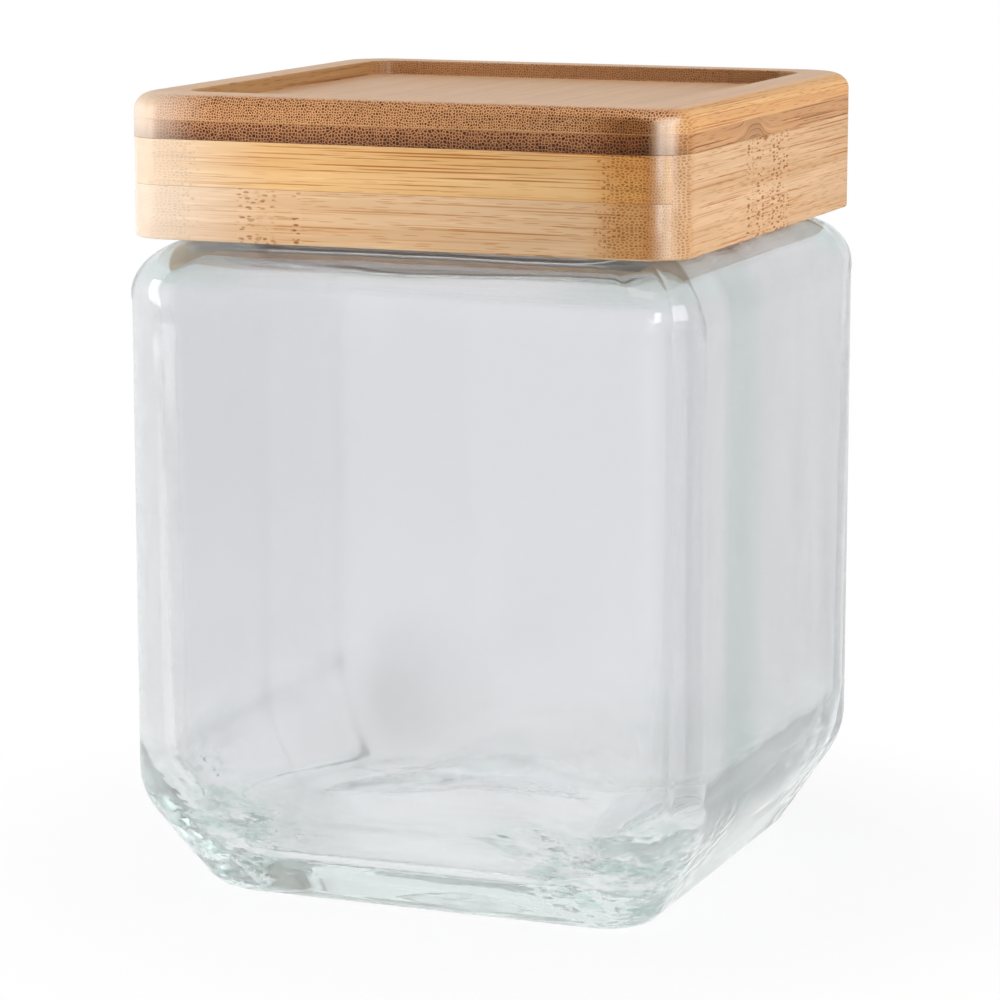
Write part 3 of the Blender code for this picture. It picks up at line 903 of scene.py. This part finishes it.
# %% [markdown]
# ## The boards
# The upper ply is a rounded square board with its top edge rounded over, and a recess that takes the foot
# of another canister. A router leaves the recess with upright walls and a tiny radius at the floor, and
# sandpaper breaks its rim.

# %% Boards
LID_CORNER, TOP_ROUND = mm(8.3, 3.1)
RECESS_HALF, RECESS_DEPTH, RECESS_CORNER, RECESS_RIM_ROUND, RECESS_FLOOR_ROUND = mm(44.04, 2.7, 6, 0.35, 0.3)
ARRIS, CLOSED_JOINT, POLE, BOARD_SPACING = mm(0.03, 0.005, 0.5, 12)
board_columns = Columns(8, 24)


def board(name, finish, outline):
    """A board from the outline of its side, from its lower face up to its upper one."""
    under, over = [(POLE, z, POLE * ROUND_SHARE, 0, 0) for z in (outline[0][1], outline[-1][1])]
    made = loft(name, board_columns, stations_along([under, *outline, over], BOARD_SPACING))
    made.data.materials.append(finish)
    return made


recess_floor = upper_high.z - RECESS_DEPTH
upper_ply = board("lid_upper_board", UPPER_BAMBOO, [
    (LID_HALF, upper_low.z, LID_CORNER, ARRIS, 3),
    (LID_HALF, upper_high.z, LID_CORNER, TOP_ROUND, 16),
    (RECESS_HALF, upper_high.z, RECESS_CORNER, RECESS_RIM_ROUND, 5),
    (RECESS_HALF, recess_floor, RECESS_CORNER, RECESS_FLOOR_ROUND, 4),
])
lower_ply = board("lid_lower_board", LOWER_BAMBOO, [
    (LID_HALF, lower_low.z, LID_CORNER, ARRIS, 3),
    (LID_HALF, upper_low.z - CLOSED_JOINT, LID_CORNER, ARRIS, 3),
])

# %% [markdown]
# ## The rails
# Each rail is a bar that is mitred at both ends, and its outer face turns with the corner of the lid. It is
# built as slices from mitre to mitre: the outer line of a slice follows the corner, the inner line stays
# straight, and the edges of the slice are broken a little, as a joiner does with sandpaper before the
# finish.

# %% A slice of a rail
RAIL_THICKNESS, LOWER_ARRIS, JOINT_ARRIS, GLUE, CORNER_SETBACK = mm(10.3, 0.5, 0.015, 0.006, 6)
ARRIS_STEPS = 3


def slice_outline(low, high, low_arris):
    """A slice of a rail as (share of the way from the outer to the inner line, depth in from it, height)."""
    def broken(edge, arris, steps):
        angles = [step / ARRIS_STEPS * math.pi / 2 for step in steps]
        return [(0, abs(arris) * (1 - math.cos(a)), edge - arris * (1 - math.sin(a))) for a in angles]

    upper, lower = broken(high, JOINT_ARRIS, (0, 1, 2, 3)), broken(low, -low_arris, (3, 2, 1))
    return [(0, 0, low + low_arris), *upper, (1, 0, high), (1, 0, low), *lower]


print("a slice has", len(slice_outline(0, 1, 0.1)), "points")


# %% Rails
RAIL_STRAIGHT_STEPS, RAIL_CORNER_STEPS = 24, 14


def rail(name, node, turn, low, high, low_arris):
    """One side of the skirt, turned to its place about the canister's centre line."""
    centre = LID_HALF - LID_CORNER
    inner = LID_HALF - RAIL_THICKNESS
    straight = centre - CORNER_SETBACK
    back = GLUE / math.sqrt(2)
    ways = [(-1, step / RAIL_CORNER_STEPS) for step in range(RAIL_CORNER_STEPS, 0, -1)]
    ways += [(x, 0) for x in np.linspace(-1, 1, RAIL_STRAIGHT_STEPS + 1)]
    ways += [(1, step / RAIL_CORNER_STEPS) for step in range(1, RAIL_CORNER_STEPS + 1)]
    slices = []
    for hand, part in ways:
        angle = part * math.pi / 4
        way = np.array([math.copysign(math.sin(angle), hand) if part else 0.0, -math.cos(angle)])
        outer_point = np.array([hand * centre, -centre]) + way * LID_CORNER
        inner_point = np.array([hand * (straight + part * (inner - straight)), -inner])
        pull = np.array([-hand * back * part, 0])
        slices.append([
            [*(outer_point * (1 - share) + inner_point * share - way * depth + pull), z]
            for share, depth, z in slice_outline(low, high, low_arris)
        ])
    count = len(slices[0])
    points = np.array(slices).reshape(-1, 3)
    faces = faces_between(count, len(slices))
    faces.append(tuple(range(count)))
    faces.append(tuple(range(len(points) - count, len(points)))[::-1])
    spin = np.array(Matrix.Rotation(turn, 3, "Z"))
    made = object_of(name, points @ spin.T, faces)
    made.data.materials.append(RAIL_FINISHES[node])
    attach(made, "lid")
    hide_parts(node)


lower = strip_low.z, strip_high.z, LOWER_ARRIS
upper = top_strip_low.z, top_strip_high.z, JOINT_ARRIS
whole = rail_low.z, rail_high.z, LOWER_ARRIS
for name, node, turn, span in (
    ("front_rail_lower", "front_rail_lower_strip", 0.0, lower),
    ("front_rail_upper", "front_rail_upper_strip", 0.0, upper),
    ("back_rail_lower", "back_rail_lower_strip", math.pi, lower),
    ("back_rail_upper", "back_rail_upper_strip", math.pi, upper),
    ("right_rail_bar", "right_rail", math.pi / 2, whole),
    ("left_rail_bar", "left_rail", -math.pi / 2, whole),
):
    rail(name, node, turn, *span)
print("rails from", round(rail_low.z / MM, 2), "to", round(rail_high.z / MM, 2), "mm")

# %% [markdown]
# ## The plug
# Below the plies a smaller board drops into the mouth of the jar, with a groove round it for the seal. It
# is a loft too, so the groove is part of its outline.

# %% The plug
PLUG_CORNER, PLUG_ROUND, PLUG_ARRIS = mm(6.6, 1, 0.15)
GROOVE_DEPTH, GROOVE_LIFT, GROOVE_WIDTH, GROOVE_ROUND = mm(2, 2.4, 4.6, 0.1)
groove_half = PLUG_HALF - GROOVE_DEPTH
groove_low = plug_low.z + GROOVE_LIFT
groove_high = groove_low + GROOVE_WIDTH
plug = board("plug_board", PLUG_BAMBOO, [
    (PLUG_HALF, plug_low.z, PLUG_CORNER, PLUG_ROUND, 8),
    (PLUG_HALF, groove_low, PLUG_CORNER, PLUG_ARRIS, 3),
    (groove_half, groove_low, PLUG_CORNER - GROOVE_DEPTH, GROOVE_ROUND, 2),
    (groove_half, groove_high, PLUG_CORNER - GROOVE_DEPTH, GROOVE_ROUND, 2),
    (PLUG_HALF, groove_high, PLUG_CORNER, PLUG_ARRIS, 3),
    (PLUG_HALF, plug_high.z, PLUG_CORNER, ARRIS, 2),
])

# %% [markdown]
# ## The silicone seal
# A seal of this kind is moulded with one section all the way round, so Geometry Nodes sweep it: a square
# path with filleted corners, and a section with a flat root and two thin lips that point up and out. The
# section is the mesh of the object itself, which the tree turns into a curve.

# %% The silicone finish
def silicone():
    finish = Finish("clear_silicone")
    cloud = finish.noise(finish.scaled(90, 90, 90), 3.0)
    fine = finish.noise(finish.scaled(2500, 2500, 2500), 1.0)
    return finish.out(finish.surface(
        Base_Color=finish.mix(cloud, seen(226, 230, 230), seen(238, 240, 238)), Roughness=0.34 + cloud * 0.12,
        Transmission_Weight=0.35, IOR=1.41, Normal=finish.bump(fine, 0.01 * MM),
    ))


SILICONE = silicone()
print("finishes so far:", len(bpy.data.materials))


# %% The tree that sweeps
def seal_tree():
    """Sweeps the object's own line, closed on itself, round a filleted square."""
    tree, given = new_group("swept_seal", {
        "Side": "Float", "Corner": "Float", "Corner Steps": "Int", "Height": "Float", "Silicone": "Material",
    })
    square = tree.node(
        "GeometryNodeCurvePrimitiveQuadrilateral", {"mode": "RECTANGLE"},
        {"Width": given["Side"], "Height": given["Side"]},
    )
    path = tree.node(
        "GeometryNodeFilletCurve", {"mode": "POLY"},
        {"Curve": square, "Count": given["Corner Steps"], "Radius": given["Corner"]},
    )
    upright = tree.node("GeometryNodeSetCurveNormal", {"mode": "Z_UP"}, {"Curve": path})
    section = tree.node("GeometryNodeMeshToCurve", None, {"Mesh": given})
    swept = tree.node(
        "GeometryNodeCurveToMesh", None, {"Curve": upright, "Profile Curve": section, "Fill Caps": False}
    )
    lift = tree.node("ShaderNodeCombineXYZ", None, {2: given["Height"]})
    raised = tree.node("GeometryNodeTransform", None, {"Geometry": swept, "Translation": lift})
    smooth = tree.node("GeometryNodeSetShadeSmooth", None, {"Geometry": raised})
    return end_group(tree, smooth, given["Silicone"])


# %% The swept seal
SEAL_CLEARANCE, LIP = mm(0.3, 0.8)
LIP_PLACES = (0.28, 0.72)
LIP_TIP = [mm(0.2, 0.42), mm(0.03, 0.52), mm(0, 0.68), mm(0.05, 0.82), mm(0.2, 0.88)]
root = groove_half + SEAL_CLEARANCE
low, high = groove_low + SEAL_CLEARANCE, groove_high - SEAL_CLEARANCE
section = [(root, low), (PLUG_HALF, low)]
for share in LIP_PLACES:
    heel = low + (high - low) * share - LIP / 2
    tip = [(SEAL_HALF - inwards, heel + up) for inwards, up in LIP_TIP]
    section += [(PLUG_HALF, heel), *tip, (PLUG_HALF, heel + LIP)]
section += [(PLUG_HALF, high), (root, high)]
seal_line = [(half - PLUG_HALF, z - plug_low.z, 0) for half, z in section]
seal_mesh = bpy.data.meshes.new("seal_ring")
seal_mesh.from_pydata(seal_line, [(n, (n + 1) % len(seal_line)) for n in range(len(seal_line))], [])
seal = add_object("seal_ring", seal_mesh)
bake(seal, seal_tree(), {
    "Side": 2 * PLUG_HALF, "Corner": PLUG_CORNER, "Corner Steps": 16, "Height": plug_low.z,
    "Silicone": SILICONE,
})
seal_points = np.array([v.co for v in seal.data.vertices])
print("seal reaches", (np.abs(seal_points).max(0) / MM).round(2), "mm")

# %% [markdown]
# ## What rides on what
# Each fine piece takes the place of its CAD node and moves with the same body, so the lid lifts as one.

# %% Pieces on their bodies
for piece, body, node, slot in (
    (jar, "jar", "glass_jar", "clear_glass"),
    (upper_ply, "lid", "lid_upper_ply", "bamboo_top"),
    (lower_ply, "lid", "lid_lower_ply", "bamboo_top"),
    (plug, "lid", "seal_plug", "bamboo_plug"),
    (seal, "lid", "silicone_seal", "silicone"),
):
    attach(piece, body)
    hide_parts(node)
    print(node, "rides on the", body)

# %% [markdown]
# ## Floor, light and camera
# The canister stands on a pale floor before a white background, so that glass has something bright to bend.
# Both are white to the eye and through glass, and weaker for other rays. In front they are also dim for
# mirrored rays, so that the lid keeps its colour.

# %% The floor
FLOOR_REACH, BELOW_FOOT = 3.0, 0.25 * MM


def bright_rays(tree, dimmed):
    """1 for rays from the camera or through glass, and 1 less a share for mirrored ones."""
    path = tree.node("ShaderNodeLightPath", output="Is Camera Ray")
    return path.larger(path["Is Transmission Ray"]).larger(path["Is Glossy Ray"] * (1 - dimmed))


def white_floor():
    finish = Finish("white_floor")
    in_front = (0 - finish.y).eased(0.2, 0.5)
    share = bright_rays(finish, in_front) * (0.84 + 0.16 * finish.away().eased(0.06, 0.13))
    cloud = finish.noise(finish.scaled(6, 6), 2.0)
    pale = finish.mix(cloud, (0.9, 0.9, 0.9), (0.92, 0.92, 0.92))
    plain = finish.surface(Base_Color=finish.mix(in_front, pale, (0.3, 0.3, 0.3)), Roughness=0.9)
    white = finish.node("ShaderNodeEmission", None, {"Color": (1, 1, 1, 1), "Strength": 1.0})
    return finish.out(finish.node("ShaderNodeMixShader", None, {0: share, 1: plain, 2: white}))


corners = [(x * FLOOR_REACH, y * FLOOR_REACH, -BELOW_FOOT) for x, y in ((-1, -1), (1, -1), (1, 1), (-1, 1))]
floor_mesh = bpy.data.meshes.new("floor")
floor_mesh.from_pydata(corners, [], [(0, 1, 2, 3)])
floor_mesh.materials.append(white_floor())
floor = add_object("floor", floor_mesh)
print("floor", 2 * FLOOR_REACH, "m wide")

# %% The world
world = bpy.data.worlds.new("white_room")
world.use_nodes = True
world.node_tree.nodes.clear()
bpy.context.scene.world = world
room = Tree(world.node_tree)
way = room.node("ShaderNodeTexCoord", output="Generated")
in_front = (0 - room.node("ShaderNodeSeparateXYZ", None, {0: way}, output="Y")).eased(0.3, 0.85)
strength = 0.2 + bright_rays(room, 0.75 * in_front) * 0.8
background = room.node("ShaderNodeBackground", None, {"Color": (1, 1, 1, 1), "Strength": strength})
room.node("ShaderNodeOutputWorld", None, {"Surface": background})
print("the world has", len(world.node_tree.nodes), "nodes")

# %% [markdown]
# Four soft boxes light it: one for the right face, one towards the right front corner, a small one near the
# left front corner for the bright edge of the lid, and one above for its top. They aren't seen through
# glass.

# %% Soft boxes
LAMPS_LOOK_AT = Vector((0, 0, 0.08))


def soft_box(name, azimuth, elevation, distance, width, height, power):
    """An area lamp that looks at the canister from an azimuth, 0 at the front and 90 at the right."""
    a, e = math.radians(azimuth), math.radians(elevation)
    lamp = bpy.data.lights.new(name, "AREA")
    lamp.shape = "RECTANGLE"
    lamp.size, lamp.size_y, lamp.energy = width, height, power
    made = add_object(name, lamp)
    way = Vector((math.sin(a) * math.cos(e), -math.cos(a) * math.cos(e), math.sin(e)))
    made.location = way * distance + LAMPS_LOOK_AT
    made.rotation_euler = way.to_track_quat("Z", "Y").to_euler()
    made.visible_transmission = False
    print(name, "at", [round(v, 2) for v in made.location], "m")


soft_box("right_box", 84, 12, 1.1, 0.7, 0.6, 6.4)
soft_box("corner_box", 42, 6, 1.1, 0.24, 0.5, 3.4)
soft_box("left_box", -50, 14, 0.42, 0.14, 0.27, 0.98)
soft_box("top_box", 10, 75, 1.2, 0.8, 0.8, 3.2)

# %% [markdown]
# The camera's place, turn and lens were fitted to the outline of the canister in the photo.

# %% The camera
CAMERA_PLACE = (0.26217, -0.66601, 0.19812)
YAW, PITCH = 0.3759, 0.179
camera = bpy.data.cameras.new("camera")
camera.sensor_width, camera.lens = 36.0, 140.06
camera_object = add_object("camera", camera)
camera_object.location = CAMERA_PLACE
camera_object.rotation_euler = (math.pi / 2 - PITCH, 0, YAW)
bpy.context.scene.camera = camera_object
bpy.context.scene.view_settings.view_transform = "Standard"
print("camera", round(Vector(CAMERA_PLACE).length, 3), "m away, lens", camera.lens, "mm")

# %% [markdown]
# Light that runs along a glass wall is turned back many times before it leaves. With few bounces it is cut
# off, and the edges of the jar turn black, so the paths are allowed to be long.

# %% Long light paths for thick glass
paths = bpy.context.scene.cycles
paths.max_bounces = 40
paths.glossy_bounces = 32
paths.transmission_bounces = 32
